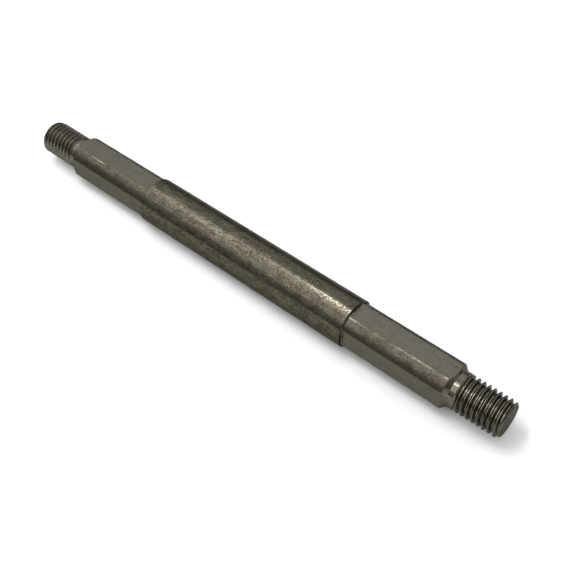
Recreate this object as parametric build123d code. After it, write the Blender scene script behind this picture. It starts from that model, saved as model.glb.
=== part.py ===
from build123d import *

# Stepped shaft: a round body, a seat with four flats at each side of it, and an M12 thread at each end.
# Millimetres. The axis is X, the origin is on it at mid-length, and two flats of each seat are level.
# The piece is one bar: turned to its diameters, then milled, then threaded.
# Sizes across the axis build up from the thread, because what fits a seat passes over the thread first.

import os
from math import ceil, radians, tan

# Threaded spigots: ISO metric coarse thread, M12 x 1.75, right hand, with a plain neck left at the shoulder
THREAD_DIAMETER = 12.0
CREST_ALLOWANCE = 0.05
PITCH = 1.75
FLANK_HALF_ANGLE = 30.0
SPIGOT_LENGTH = 17.0
NECK_LENGTH = 1.7
RUN_OUT_LENGTH = 1.3
END_CHAMFER = 0.85

# Where each thread's crest leaves its end face: turned from +Z, about the axis that points out of that end
POS_X_CREST_ANGLE = 54.0
NEG_X_CREST_ANGLE = 126.0

# Seats: turned, then milled to four flats, with the turned diameter left at their corners
FLATS_OVER_SPIGOT = 0.65
CORNERS_OVER_FLATS = 0.8
SEAT_LENGTH = 35.0
SEAT_FLATS = 4
MILLED_ROOT_RADIUS = 0.4

# Conical shoulder from a seat down to its spigot
SHOULDER_ANGLE = 45.0

# Round body, which stands above the seats' corners as a shoulder
BODY_OVER_CORNERS = 0.6
BODY_LENGTH = 85.0
BODY_EDGE_BREAK = 0.25
TURNED_ROOT_RADIUS = 0.2

# How far a cutter reaches past the metal
OVERRUN = 2.0

# ISO profile: the sharp triangle's height, and what its cut-off crest and root leave of it
SHARP_HEIGHT = PITCH / 2 / tan(radians(FLANK_HALF_ANGLE))
THREAD_DEPTH = SHARP_HEIGHT * 17 / 24
CREST_FLAT = PITCH / 8
ROOT_FLAT = PITCH / 6

# Radii and heights across the axis, from the thread outwards
spigot_radius = THREAD_DIAMETER / 2 - CREST_ALLOWANCE
thread_root_radius = spigot_radius - THREAD_DEPTH
flat_height = spigot_radius + FLATS_OVER_SPIGOT
seat_radius = flat_height + CORNERS_OVER_FLATS
body_radius = seat_radius + BODY_OVER_CORNERS

# Stations along X, from the middle to one end
body_end = BODY_LENGTH / 2
seat_end = body_end + SEAT_LENGTH
shoulder_end = seat_end + (seat_radius - spigot_radius) / tan(radians(SHOULDER_ANGLE))
neck_end = shoulder_end + NECK_LENGTH
shaft_end = shoulder_end + SPIGOT_LENGTH


def axial_face(*points):
    """A closed outline in the plane of X and Z, given as (x, z)."""
    return make_face(Plane.XZ * Polyline(*points, close=True))


def round_corner(face, x, z, radius):
    """The face with the corner at (x, z) rounded."""
    return fillet(face.vertices().sort_by_distance((x, 0, z))[0], radius)


def turned_half():
    """Half of the turned bar, from the middle to the neck, with the cone that its thread runs out on."""
    run_out_tip = neck_end + spigot_radius * RUN_OUT_LENGTH / THREAD_DEPTH
    outline = axial_face(
        (0, 0),
        (run_out_tip, 0),
        (neck_end, spigot_radius),
        (shoulder_end, spigot_radius),
        (seat_end, seat_radius),
        (body_end, seat_radius),
        (body_end, body_radius - BODY_EDGE_BREAK),
        (body_end - BODY_EDGE_BREAK, body_radius),
        (0, body_radius),
    )
    wall = BODY_OVER_CORNERS - BODY_EDGE_BREAK
    return revolve(round_corner(outline, body_end, seat_radius, min(TURNED_ROOT_RADIUS, wall / 2)), Axis.X)


def flat_cutters():
    """What the end mill takes off each flat of one seat, from the body's shoulder outwards."""
    top = body_radius + OVERRUN
    end = shoulder_end + OVERRUN
    side = axial_face((body_end, flat_height), (end, flat_height), (end, top), (body_end, top))
    cutter = extrude(round_corner(side, body_end, flat_height, MILLED_ROOT_RADIUS), body_radius, both=True)
    return [Rot(360 / SEAT_FLATS * i, 0, 0) * cutter for i in range(SEAT_FLATS)]


def groove_turn(crest_angle):
    """One turn of the thread's groove from the origin towards -X: the ISO profile, open past the crest."""
    above_crest = CREST_FLAT / 4
    half_mouth = (PITCH - CREST_FLAT) / 2 + above_crest * tan(radians(FLANK_HALF_ANGLE))
    profile = axial_face(
        (thread_root_radius, -ROOT_FLAT / 2),
        (thread_root_radius, ROOT_FLAT / 2),
        (spigot_radius + above_crest, half_mouth),
        (spigot_radius + above_crest, -half_mouth),
    )
    turn = sweep(profile, path=Helix(PITCH, PITCH, spigot_radius), is_frenet=True)
    inward = Plane((0, 0, 0), x_dir=(0, 0, 1), z_dir=(-1, 0, 0))
    return inward.location * Rot(0, 0, 180 - crest_angle) * turn


def threaded_length(crest_angle):
    """The threaded length of one spigot: a chamfered bar less groove turns, with one past it at each end."""
    bar = axial_face(
        (neck_end, 0),
        (shaft_end, 0),
        (shaft_end, spigot_radius - END_CHAMFER),
        (shaft_end - END_CHAMFER, spigot_radius),
        (neck_end, spigot_radius),
    )
    turn = groove_turn(crest_angle)
    turns = ceil((shaft_end - neck_end) / PITCH)
    return revolve(bar, Axis.X) - [Pos(shaft_end - PITCH * i, 0, 0) * turn for i in range(-1, turns + 1)]


def half_shaft(crest_angle):
    """One finished half, from the middle towards +X."""
    return turned_half() - flat_cutters() + threaded_length(crest_angle)


def shaft():
    """The finished piece: the +X half, and a half turned about Z, which keeps its thread right-hand."""
    return half_shaft(POS_X_CREST_ANGLE) + Rot(0, 0, 180) * half_shaft(NEG_X_CREST_ANGLE)


os.makedirs("parts", exist_ok=True)
export_step(shaft(), "parts/shaft.step")
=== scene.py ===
from math import cos, pi, radians, sin

import bmesh
import bpy
from bpy.props import FloatProperty, FloatVectorProperty, PointerProperty
from mathutils import Matrix, Vector


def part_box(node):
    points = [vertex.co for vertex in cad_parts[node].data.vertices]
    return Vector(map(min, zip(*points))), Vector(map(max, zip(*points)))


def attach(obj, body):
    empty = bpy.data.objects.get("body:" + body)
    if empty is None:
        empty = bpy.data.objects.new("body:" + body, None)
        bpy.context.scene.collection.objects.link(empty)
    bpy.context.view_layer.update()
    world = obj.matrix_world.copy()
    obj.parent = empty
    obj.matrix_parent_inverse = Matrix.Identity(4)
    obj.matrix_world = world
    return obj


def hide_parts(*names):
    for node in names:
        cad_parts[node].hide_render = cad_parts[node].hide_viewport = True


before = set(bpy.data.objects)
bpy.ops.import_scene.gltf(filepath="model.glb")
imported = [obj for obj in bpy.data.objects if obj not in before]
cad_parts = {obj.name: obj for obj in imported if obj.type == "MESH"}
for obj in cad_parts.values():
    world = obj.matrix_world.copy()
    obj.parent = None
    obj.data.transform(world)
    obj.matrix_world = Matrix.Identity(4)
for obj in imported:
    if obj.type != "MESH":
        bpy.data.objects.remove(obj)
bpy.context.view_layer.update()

bl_info = {
    "name": "Stepped shaft",
    "version": (1, 0, 0),
    "blender": (4, 5, 0),
    "location": "3D View > Sidebar > Shaft",
    "description": "Finishes a turned, milled and threaded steel shaft and sets it on a pale studio floor",
    "category": "Object",
}

SHAFT_LOW, SHAFT_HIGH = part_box("shaft")
MM = 0.001

# Tolerances for telling one surface of the shaft from another, in metres and as parts of a unit normal
WELD_DISTANCE = 0.000002
END_TOLERANCE = 0.00001
FLAT_TOLERANCE = 0.00005
MILLED_ROOT = 0.0006
LEVEL_NORMAL, END_NORMAL, WALL_NORMAL = 0.9999, 0.99, 0.2

# Reflectance left at grazing angles, and how dark pits and the painted shade line at the body's ends go against the
# darkest skin
EDGE_TINT = 0.45
PIT_AND_RIM_SHADE_TONE = 0.35

# Each lamp's name, place, aim, width, depth and radiance, at which 1 is white
LAMPS = (
    ("Back softbox", (-0.25, 0.38, 0.55), (0.0, 0.0, 0.0), 1.2, 0.7, 0.6),
    ("Top softbox", (-0.22, -0.30, 0.55), (0.0, 0.0, 0.0), 1.0, 0.62, 1.55),
    ("Far strip", (-0.30, -0.062, 0.46), (-0.06, 0.0, 0.0), 0.18, 0.04, 3.0),
    ("Near strip", (-0.105, -0.060, 0.46), (0.04, 0.0, 0.0), 0.28, 0.030, 34.0),
)
COLOUR_SOCKETS = ("Tone", "Rust", "Color")


# Sizes and finishes

def size(name, description, millimetres):
    return FloatProperty(
        name=name, description=description, default=millimetres * MM, min=0.0, subtype="DISTANCE", unit="LENGTH")


def colour(name, description, default):
    return FloatVectorProperty(
        name=name, description=description, default=default, size=3, min=0.0, max=1.0, subtype="COLOR")


def angle(name, description, degrees):
    return FloatProperty(name=name, description=description, default=radians(degrees), subtype="ANGLE")


def share(name, description, default):
    return FloatProperty(name=name, description=description, default=default, min=0.0, max=1.0, subtype="FACTOR")


class ShaftFinish(bpy.types.PropertyGroup):
    """Where each finish lies along the shaft, and what it looks like."""
    spigot_length: size("Spigot length", "From the conical shoulder to the end face", 17.0)
    seat_length: size("Seat length", "From the body's shoulder to the conical shoulder", 35.0)
    cone_length: size("Cone length", "Length of the conical shoulder", 1.45)
    neck_length: size("Neck length", "Plain neck between the cone and the thread", 1.7)
    flat_height: size("Flat height", "From the axis to a milled flat", 6.6)
    sharp_angle: angle("Sharp angle", "Edges that turn by more than this stay sharp", 21.0)
    body_dark: colour("Body, dark", "Darkest tone of the body's oxide skin", (0.024, 0.021, 0.015))
    body_light: colour("Body, light", "Palest tone of the body's oxide skin", (0.082, 0.075, 0.056))
    flat_tone: colour("Flats", "Tone of the milled flats", (0.109, 0.105, 0.084))
    turned_tone: colour("Turned steel", "Tone of the seats' turned corners", (0.070, 0.064, 0.050))
    thread_tone: colour("Thread", "Tone of the thread", (0.135, 0.127, 0.103))
    end_tone: colour("End faces", "Tone of the end faces", (0.115, 0.108, 0.092))
    neck_tone: colour("Necks", "Tone of the cones and necks", (0.115, 0.108, 0.086))
    rust_tone: colour("Rust", "Tone of the faint brown staining", (0.085, 0.048, 0.032))
    # Rubbed-bare metal at the flats' edges, which also serves as a painted highlight there
    bright_edge_and_highlight_tone: colour("Bright edges and highlight", "Tone of metal rubbed bare at the edges", (0.30, 0.285, 0.24))
    body_roughness: share("Body roughness", "Roughness of the oxide skin", 0.19)
    flat_roughness: share("Flat roughness", "Roughness of the milled flats", 0.30)


class StudioSettings(bpy.types.PropertyGroup):
    """The floor's tone and the camera."""
    azimuth: angle("Azimuth", "Camera's turn about the upright axis", 40.607)
    elevation: angle("Elevation", "Camera's angle above the floor", 47.323)
    distance: size("Distance", "From the camera to the middle of the shaft along the view", 295.64)
    aim_right: size("Aim right", "How far right of the shaft's middle the camera looks", 9.942)
    aim_down: size("Aim down", "How far below the shaft's middle the camera looks", 7.127)
    lens: FloatProperty(
        name="Lens", description="Focal length on a 36 mm sensor, in millimetres",
        default=59.02, min=1.0, unit="CAMERA")
    floor_tone: colour("Floor", "Tone of the floor", (0.80, 0.80, 0.80))


# Node helpers

def node(tree, kind, **settings):
    made = tree.nodes.new(kind)
    for name, value in settings.items():
        setattr(made, name, value)
    return made


def feed(tree, socket, value):
    """Links a socket to another, or sets its number or colour."""
    if isinstance(value, bpy.types.NodeSocket):
        tree.links.new(value, socket)
    elif value is not None:
        if hasattr(socket.default_value, "__len__") and len(socket.default_value) == 4 and len(value) == 3:
            value = (*value, 1.0)
        socket.default_value = value


def maths(tree, operation, a, b=None, c=None, clamp=False):
    made = node(tree, "ShaderNodeMath", operation=operation, use_clamp=clamp)
    for socket, value in zip(made.inputs, (a, b, c)):
        feed(tree, socket, value)
    return made.outputs[0]


def ramp(tree, value, low, high, to_low=0.0, to_high=1.0):
    """A smooth step of a value from low to high."""
    made = node(tree, "ShaderNodeMapRange", interpolation_type="SMOOTHSTEP")
    limits = (("From Min", low), ("From Max", high), ("To Min", to_low), ("To Max", to_high))
    for name, given in (("Value", value), *limits):
        feed(tree, made.inputs[name], given)
    return made.outputs[0]


def blend(tree, factor, a, b, mode="MIX"):
    made = node(tree, "ShaderNodeMix", data_type="RGBA", blend_type=mode)
    feed(tree, made.inputs[0], factor)
    feed(tree, made.inputs[6], a)
    feed(tree, made.inputs[7], b)
    return made.outputs[2]


def noise(tree, vector, scale, detail=2.0, roughness=0.5, distortion=0.0):
    made = node(tree, "ShaderNodeTexNoise")
    feed(tree, made.inputs["Vector"], vector)
    for name, value in (("Scale", scale), ("Detail", detail), ("Roughness", roughness), ("Distortion", distortion)):
        feed(tree, made.inputs[name], value)
    return made.outputs["Fac"]


def scaled(tree, scale, shift=(0.0, 0.0, 0.0)):
    """Object coordinates scaled in waves per metre, and shifted."""
    coordinates = node(tree, "ShaderNodeTexCoord")
    mapping = node(tree, "ShaderNodeMapping", vector_type="POINT")
    feed(tree, mapping.inputs["Vector"], coordinates.outputs["Object"])
    feed(tree, mapping.inputs["Location"], shift)
    feed(tree, mapping.inputs["Scale"], scale)
    return mapping.outputs["Vector"]


def stretched(tree, along, across, shift=0.0):
    """Object coordinates scaled along the shaft and across it."""
    return scaled(tree, (along, across, across), (shift, shift * 1.7, shift * 0.6))


def band(tree, axis, height, width):
    """1 at a height from the origin along an axis, either way, and fading to 0 over a width."""
    coordinates = node(tree, "ShaderNodeTexCoord")
    split = node(tree, "ShaderNodeSeparateXYZ")
    feed(tree, split.inputs[0], coordinates.outputs["Object"])
    away = maths(tree, "ABSOLUTE", maths(tree, "SUBTRACT", maths(tree, "ABSOLUTE", split.outputs[axis]), height))
    return maths(tree, "SUBTRACT", 1.0, maths(tree, "DIVIDE", away, width, clamp=True), clamp=True)


def group(name, inputs, outputs):
    """A new shader node group with its named sockets."""
    tree = bpy.data.node_groups.new(name, "ShaderNodeTree")
    for sockets, direction in ((inputs, "INPUT"), (outputs, "OUTPUT")):
        for socket_name in sockets:
            socket_kind = "NodeSocketColor" if socket_name in COLOUR_SOCKETS else "NodeSocketFloat"
            tree.interface.new_socket(name=socket_name, in_out=direction, socket_type=socket_kind)
    return tree, node(tree, "NodeGroupInput"), node(tree, "NodeGroupOutput")


def place(tree, made, **values):
    """A group placed in a material, with its own values."""
    placed = node(tree, "ShaderNodeGroup", node_tree=made)
    for name, value in values.items():
        feed(tree, placed.inputs[name.replace("_", " ")], value)
    return placed.outputs


# Effects shared by the finishes

def steel_blotches():
    """Soft uneven tone with faint rust, drawn out along the bar."""
    tree, given, out = group("Steel blotches", ("Tone", "Rust", "Depth", "Rust amount"), ("Color", "Mask"))
    broad = noise(tree, stretched(tree, 260.0, 520.0), 1.0, 5.0, 0.72, 0.3)
    fine = noise(tree, stretched(tree, 1300.0, 1900.0, 3.1), 1.0, 4.0, 0.7)
    mixed = maths(tree, "ADD", maths(tree, "MULTIPLY", broad, 0.4), maths(tree, "MULTIPLY", fine, 0.6))
    mask = ramp(tree, mixed, 0.36, 0.64)
    swing = maths(tree, "MULTIPLY_ADD", maths(tree, "SUBTRACT", mask, 0.5), given.outputs["Depth"], 1.0)
    grey = node(tree, "ShaderNodeCombineColor")
    for socket in grey.inputs:
        feed(tree, socket, swing)
    toned = blend(tree, 1.0, given.outputs["Tone"], grey.outputs[0], "MULTIPLY")
    stain = ramp(tree, noise(tree, stretched(tree, 60.0, 260.0, 8.3), 1.0, 5.0, 0.65, 0.6), 0.52, 0.72)
    stained = blend(tree, maths(tree, "MULTIPLY", stain, given.outputs["Rust amount"]), toned, given.outputs["Rust"])
    feed(tree, out.inputs["Color"], stained)
    feed(tree, out.inputs["Mask"], mask)
    return tree


def pits():
    """Small dark pits, with how deep they go."""
    tree, given, out = group("Pits", ("Density",), ("Mask", "Height"))
    cells = node(tree, "ShaderNodeTexVoronoi", feature="F1")
    ragged = node(tree, "ShaderNodeVectorMath", operation="ADD")
    feed(tree, ragged.inputs[0], stretched(tree, 480.0, 760.0, 1.9))
    feed(tree, ragged.inputs[1], noise(tree, stretched(tree, 2200.0, 2600.0, 4.4), 1.0, 2.0))
    feed(tree, cells.inputs["Vector"], ragged.outputs[0])
    cells.inputs["Scale"].default_value = 1.0
    chance = node(tree, "ShaderNodeSeparateColor")
    feed(tree, chance.inputs[0], cells.outputs["Color"])
    picked = maths(tree, "LESS_THAN", chance.outputs[0], given.outputs["Density"])
    spot = ramp(tree, cells.outputs["Distance"], 0.30, 0.06)
    grain = ramp(tree, noise(tree, stretched(tree, 1700.0, 2600.0, 5.0), 1.0, 4.0, 0.75), 0.54, 0.68)
    fine = maths(tree, "MULTIPLY", grain, maths(tree, "MULTIPLY", given.outputs["Density"], 11.0), clamp=True)
    mask = maths(tree, "MAXIMUM", maths(tree, "MULTIPLY", spot, picked), fine)
    feed(tree, out.inputs["Mask"], mask)
    feed(tree, out.inputs["Height"], maths(tree, "SUBTRACT", 1.0, mask))
    return tree


def tool_marks():
    """Fine marks that a tool leaves: along the bar, or round it."""
    tree, given, out = group("Tool marks", ("Along", "Across"), ("Mask", "Height"))
    scale = node(tree, "ShaderNodeCombineXYZ")
    feed(tree, scale.inputs[0], given.outputs["Along"])
    feed(tree, scale.inputs[1], given.outputs["Across"])
    feed(tree, scale.inputs[2], given.outputs["Across"])
    lines = noise(tree, scaled(tree, scale.outputs[0]), 1.0, 4.0, 0.65)
    feed(tree, out.inputs["Mask"], ramp(tree, lines, 0.35, 0.65))
    feed(tree, out.inputs["Height"], lines)
    return tree


def rubbed_edge_highlights():
    """Broken bright lines along the long edges of the level flats: metal rubbed bare by handling, and a painted
    highlight where these edges catch the light.
    """
    tree, given, out = group("Rubbed edge highlights", ("Edge height", "Width", "Amount"), ("Mask",))
    near = band(tree, 2, given.outputs["Edge height"], given.outputs["Width"])
    broken = ramp(tree, noise(tree, stretched(tree, 260.0, 300.0, 2.2), 1.0, 4.0, 0.7), 0.46, 0.66)
    lines = maths(tree, "MULTIPLY", near, broken)
    feed(tree, out.inputs["Mask"], maths(tree, "MULTIPLY", lines, given.outputs["Amount"], clamp=True))
    return tree


def painted_rim_shade():
    """A painted shade line at a shoulder, the same at both ends of the bar."""
    tree, given, out = group("Painted rim shade", ("Station", "Width"), ("Mask",))
    feed(tree, out.inputs["Mask"], band(tree, 0, given.outputs["Station"], given.outputs["Width"]))
    return tree


def new_material(name):
    made = bpy.data.materials.new(name)
    made.use_nodes = True
    tree = made.node_tree
    tree.nodes.clear()
    shader = node(tree, "ShaderNodeBsdfPrincipled")
    out = node(tree, "ShaderNodeOutputMaterial")
    tree.links.new(shader.outputs[0], out.inputs[0])
    return made, tree, shader


def new_steel(name):
    made, tree, shader = new_material(name)
    shader.inputs["Metallic"].default_value = 1.0
    shader.inputs["Specular Tint"].default_value = (EDGE_TINT, EDGE_TINT, EDGE_TINT, 1.0)
    return made, tree, shader


def bump(tree, shader, height, distance, strength):
    made = node(tree, "ShaderNodeBump")
    made.inputs["Strength"].default_value = strength
    made.inputs["Distance"].default_value = distance
    feed(tree, made.inputs["Height"], height)
    feed(tree, shader.inputs["Normal"], made.outputs[0])


def oxide_skin(finish, blotches, pitting, marks, rim_shade_group, body_half):
    """The body: dull rolled skin, mottled and finely pitted, with faint marks along it and a painted shade line at
    each end.
    """
    made, tree, shader = new_steel("Oxide skin")
    patches = place(tree, blotches, Tone=finish.body_light, Rust=finish.rust_tone, Depth=1.15, Rust_amount=0.26)
    holes = place(tree, pitting, Density=0.07)
    drawn = place(tree, marks, Along=60.0, Across=2600.0)
    worn = blend(tree, maths(tree, "MULTIPLY", drawn["Mask"], 0.28), patches["Color"], finish.body_dark)
    # The darkest tone, used for the pits and for the painted shade line at the body's ends
    pit_and_rim_shade_tone = tuple(c * PIT_AND_RIM_SHADE_TONE for c in finish.body_dark)
    pitted = blend(tree, maths(tree, "MULTIPLY", holes["Mask"], 0.80), worn, pit_and_rim_shade_tone)
    # Painted shade: a dark line round the body next to each shoulder
    rim_shade = place(tree, rim_shade_group, Station=body_half, Width=0.00045)
    feed(tree, shader.inputs["Base Color"], blend(tree, maths(tree, "MULTIPLY", rim_shade["Mask"], 0.75), pitted, pit_and_rim_shade_tone))
    rough = maths(tree, "MULTIPLY_ADD", patches["Mask"], -0.10, finish.body_roughness + 0.06)
    rougher = maths(tree, "MULTIPLY", holes["Mask"], 0.35)
    feed(tree, shader.inputs["Roughness"], maths(tree, "ADD", rough, rougher, clamp=True))
    ridges = maths(tree, "MULTIPLY", drawn["Height"], 0.3)
    height = maths(tree, "ADD", maths(tree, "MULTIPLY", holes["Height"], 0.7), ridges)
    bump(tree, shader, height, 0.00006, 0.7)
    return made


def milled_flat(finish, blotches, marks):
    """The flats: smooth, a little smudged, with faint mill marks."""
    made, tree, shader = new_steel("Milled flat")
    patches = place(tree, blotches, Tone=finish.flat_tone, Rust=finish.rust_tone, Depth=0.30, Rust_amount=0.10)
    milled = place(tree, marks, Along=900.0, Across=70.0)
    scratch = ramp(tree, noise(tree, stretched(tree, 45.0, 900.0, 6.4), 1.0, 2.0, 0.5, 2.5), 0.66, 0.74)
    toned = blend(tree, maths(tree, "MULTIPLY", milled["Mask"], 0.10), patches["Color"], finish.body_light)
    scratched = maths(tree, "MULTIPLY", scratch, 0.35)
    feed(tree, shader.inputs["Base Color"], blend(tree, scratched, toned, finish.body_dark))
    rough = maths(tree, "MULTIPLY_ADD", patches["Mask"], 0.08, finish.flat_roughness - 0.04)
    feed(tree, shader.inputs["Roughness"], rough)
    bump(tree, shader, milled["Height"], 0.00002, 0.18)
    return made


def turned_steel(finish, blotches, marks, edges, name, tone, edge_highlight_amount, depth, roughness):
    """Turned metal: fine rings round the bar, blotchy, rubbed bright at its edges, where a painted highlight is laid
    too.
    """
    made, tree, shader = new_steel(name)
    patches = place(tree, blotches, Tone=tone, Rust=finish.rust_tone, Depth=depth, Rust_amount=0.3)
    rings = place(tree, marks, Along=5200.0, Across=60.0)
    # Rubbed-bare metal and a painted highlight along the level flats' long edges
    rubbed_highlight = place(tree, edges, Edge_height=finish.flat_height, Width=0.00030, Amount=edge_highlight_amount)
    ringed = blend(tree, maths(tree, "MULTIPLY", rings["Mask"], 0.18), patches["Color"], finish.body_dark)
    feed(tree, shader.inputs["Base Color"], blend(tree, rubbed_highlight["Mask"], ringed, finish.bright_edge_and_highlight_tone))
    feed(tree, shader.inputs["Roughness"], maths(tree, "MULTIPLY_ADD", patches["Mask"], -0.10, roughness + 0.05))
    bump(tree, shader, rings["Height"], 0.00003, 0.3)
    return made


def faced_end(finish, blotches, marks):
    """The end faces: flat and dull, with faint upright streaks."""
    made, tree, shader = new_steel("Faced end")
    patches = place(tree, blotches, Tone=finish.end_tone, Rust=finish.rust_tone, Depth=0.25, Rust_amount=0.25)
    streaks = noise(tree, scaled(tree, (200.0, 1700.0, 120.0)), 1.0, 3.0, 0.6)
    streaked = maths(tree, "MULTIPLY", ramp(tree, streaks, 0.4, 0.7), 0.30)
    feed(tree, shader.inputs["Base Color"], blend(tree, streaked, patches["Color"], finish.body_dark))
    feed(tree, shader.inputs["Roughness"], maths(tree, "MULTIPLY_ADD", streaks, 0.1, 0.40))
    bump(tree, shader, streaks, 0.00002, 0.25)
    return made


# The shaft

def finish_of(face, finish, half):
    """Which finish a face has: 0 body, 1 flat, 2 turned corner, 3 neck and cone, 4 thread, 5 end face."""
    centre, normal = face.calc_center_median(), face.normal
    from_end = half - abs(centre.x)
    cone_start = finish.spigot_length + finish.cone_length
    if abs(normal.x) > END_NORMAL and from_end < END_TOLERANCE:
        return 5
    if from_end < finish.spigot_length - finish.neck_length:
        return 4
    if from_end < cone_start:
        return 3
    if from_end < cone_start + finish.seat_length - MILLED_ROOT:
        tallest = max(abs(centre.y), abs(centre.z))
        at_flat = abs(tallest - finish.flat_height) < FLAT_TOLERANCE
        return 1 if at_flat and max(abs(normal.y), abs(normal.z)) > LEVEL_NORMAL else 2
    return 2 if abs(normal.x) > WALL_NORMAL else 0


class SHAFT_OT_finish(bpy.types.Operator):
    """Make the shaft's smooth-shaded skin and give each surface its finish"""
    bl_idname = "shaft.finish_shaft"
    bl_label = "Finish shaft"

    def execute(self, context):
        finish = context.scene.shaft_finish
        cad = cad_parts["shaft"]
        mesh = cad.data.copy()
        mesh.name = "shaft_skin"
        mesh.materials.clear()
        for name in ("custom_normal", "sharp_face", "sharp_edge"):
            if name in mesh.attributes:
                mesh.attributes.remove(mesh.attributes[name])
        build = bmesh.new()
        build.from_mesh(mesh)
        bmesh.ops.remove_doubles(build, verts=build.verts, dist=WELD_DISTANCE)
        bmesh.ops.recalc_face_normals(build, faces=build.faces)
        half = (SHAFT_HIGH.x - SHAFT_LOW.x) / 2
        for face in build.faces:
            face.smooth = True
            face.material_index = finish_of(face, finish, half)
        for edge in build.edges:
            edge.smooth = len(edge.link_faces) == 2 and edge.calc_face_angle(pi) < finish.sharp_angle
        if any(len(edge.link_faces) != 2 for edge in build.edges):
            raise RuntimeError("the shaft's skin isn't closed")
        build.to_mesh(mesh)
        build.free()
        skin = bpy.data.objects.new("shaft_skin", mesh)
        context.scene.collection.objects.link(skin)
        body_half = half - finish.spigot_length - finish.cone_length - finish.seat_length
        blotches, pitting, marks, edges = steel_blotches(), pits(), tool_marks(), rubbed_edge_highlights()
        for made in (
            oxide_skin(finish, blotches, pitting, marks, painted_rim_shade(), body_half),
            milled_flat(finish, blotches, marks),
            turned_steel(finish, blotches, marks, edges, "Turned corner", finish.turned_tone, 0.8, 0.9, 0.29),
            turned_steel(finish, blotches, marks, edges, "Turned neck", finish.neck_tone, 0.0, 0.5, 0.16),
            turned_steel(finish, blotches, marks, edges, "Cut thread", finish.thread_tone, 0.0, 0.6, 0.26),
            faced_end(finish, blotches, marks),
        ):
            mesh.materials.append(made)
        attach(skin, "root")
        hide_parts("shaft")
        return {"FINISHED"}


# The stage

def soft_lamp(context, name, place_at, aim_at, wide, deep, radiance):
    """A soft rectangular lamp of an even brightness, at which 1 is white."""
    lamp = bpy.data.lights.new(name, "AREA")
    lamp.shape = "RECTANGLE"
    lamp.size, lamp.size_y = wide, deep
    lamp.energy = radiance * wide * deep * pi
    made = bpy.data.objects.new(name, lamp)
    made.location = place_at
    made.rotation_mode = "QUATERNION"
    made.rotation_quaternion = (Vector(aim_at) - Vector(place_at)).to_track_quat("-Z", "Y")
    context.scene.collection.objects.link(made)
    return made


def pale_floor(tone):
    """Pale, plain and dull, with the shaft's shadow kept."""
    made, tree, shader = new_material("Pale floor")
    shader.inputs["Base Color"].default_value = (*tone, 1.0)
    shader.inputs["Roughness"].default_value = 0.9
    shader.inputs["Specular IOR Level"].default_value = 0.0
    return made


def white_room(world):
    """Soft dim light from all round, which the camera and glass see as white."""
    world.use_nodes = True
    tree = world.node_tree
    tree.nodes.clear()
    path = node(tree, "ShaderNodeLightPath")
    seen = maths(tree, "MAXIMUM", path.outputs["Is Camera Ray"], path.outputs["Is Transmission Ray"])
    sky = node(tree, "ShaderNodeTexCoord")
    split = node(tree, "ShaderNodeSeparateXYZ")
    feed(tree, split.inputs[0], sky.outputs["Generated"])
    level = ramp(tree, split.outputs[2], 0.02, 0.40, 0.24, 0.74)
    strength = maths(tree, "MAXIMUM", level, seen)
    light = node(tree, "ShaderNodeBackground")
    light.inputs["Color"].default_value = (1.0, 1.0, 1.0, 1.0)
    feed(tree, light.inputs["Strength"], strength)
    out = node(tree, "ShaderNodeOutputWorld")
    tree.links.new(light.outputs[0], out.inputs[0])


class SHAFT_OT_stage(bpy.types.Operator):
    """Make the floor, the lamps and the camera"""
    bl_idname = "shaft.make_stage"
    bl_label = "Make stage"

    def execute(self, context):
        studio, scene = context.scene.shaft_studio, context.scene
        mesh = bpy.data.meshes.new("floor")
        build = bmesh.new()
        bmesh.ops.create_grid(build, x_segments=1, y_segments=1, size=3.0)
        bmesh.ops.translate(build, verts=build.verts, vec=(0.0, 0.0, SHAFT_LOW.z))
        build.to_mesh(mesh)
        build.free()
        mesh.materials.append(pale_floor(studio.floor_tone))
        floor = bpy.data.objects.new("floor", mesh)
        scene.collection.objects.link(floor)

        scene.world = bpy.data.worlds.new("White room")
        white_room(scene.world)
        for lamp in LAMPS:
            soft_lamp(context, *lamp)

        camera = bpy.data.cameras.new("Camera")
        camera.sensor_width, camera.lens = 36.0, studio.lens
        camera.clip_start, camera.clip_end = 0.01, 20.0
        level = Vector((-sin(studio.azimuth), cos(studio.azimuth), 0.0))
        ahead = cos(studio.elevation) * level - Vector((0.0, 0.0, sin(studio.elevation)))
        right = level.cross(Vector((0.0, 0.0, 1.0)))
        down = ahead.cross(right)
        middle = (SHAFT_LOW + SHAFT_HIGH) / 2
        where = middle - ahead * studio.distance + right * studio.aim_right + down * studio.aim_down
        made = bpy.data.objects.new("Camera", camera)
        turn = Matrix((right, -down, -ahead)).transposed()
        made.matrix_world = Matrix.Translation(where) @ turn.to_4x4()
        scene.collection.objects.link(made)
        scene.camera = made
        scene.view_settings.view_transform = "Standard"
        return {"FINISHED"}


class SHAFT_PT_panel(bpy.types.Panel):
    """Lists the shaft's operators and their settings"""
    bl_idname = "SHAFT_PT_panel"
    bl_label = "Stepped shaft"
    bl_space_type = "VIEW_3D"
    bl_region_type = "UI"
    bl_category = "Shaft"

    def draw(self, context):
        layout = self.layout
        scene = context.scene
        for operator, settings in ((SHAFT_OT_finish, scene.shaft_finish), (SHAFT_OT_stage, scene.shaft_studio)):
            layout.operator(operator.bl_idname)
            for name in settings.__annotations__:
                layout.prop(settings, name)


CLASSES = (ShaftFinish, StudioSettings, SHAFT_OT_finish, SHAFT_OT_stage, SHAFT_PT_panel)


def register():
    for made in CLASSES:
        bpy.utils.register_class(made)
    bpy.types.Scene.shaft_finish = PointerProperty(type=ShaftFinish)
    bpy.types.Scene.shaft_studio = PointerProperty(type=StudioSettings)


def unregister():
    del bpy.types.Scene.shaft_studio
    del bpy.types.Scene.shaft_finish
    for made in reversed(CLASSES):
        bpy.utils.unregister_class(made)


def main():
    register()
    bpy.ops.shaft.finish_shaft()
    bpy.ops.shaft.make_stage()


if __name__ == "__main__":
    main()
